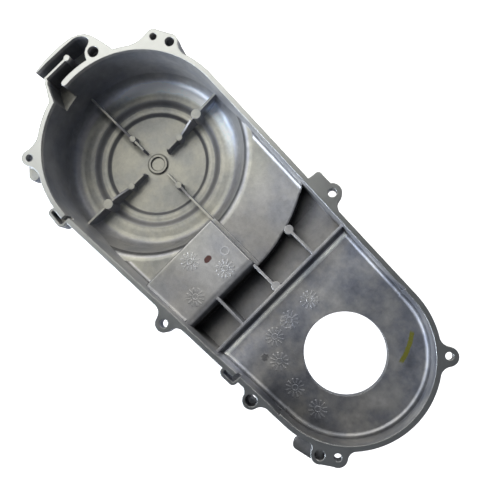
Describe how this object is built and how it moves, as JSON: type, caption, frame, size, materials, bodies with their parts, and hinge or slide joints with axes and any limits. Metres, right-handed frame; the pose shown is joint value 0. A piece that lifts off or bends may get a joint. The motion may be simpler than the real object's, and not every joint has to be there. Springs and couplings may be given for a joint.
{
  "type": "scooter variator cover",
  "caption": "Open die-cast aluminium cover that houses a scooter's variator, belt and clutch, with ribbed bowl, bolt lugs on the rim, a duct labyrinth and a large clutch opening.",
  "frame": {"origin": "on the axis of the large clutch opening, at the clutch floor's inner face", "axes": "+X from the variator bowl towards the clutch end, +Z out of the open side along the opening's axis, +Y across the cover"},
  "size_m": [0.4714, 0.2046, 0.0805],
  "materials": {
    "cast_aluminium": "satin casting with a machined joint face"
  },
  "bodies": {
    "root": {"cover": "cast_aluminium"}
  },
  "joints": []
}
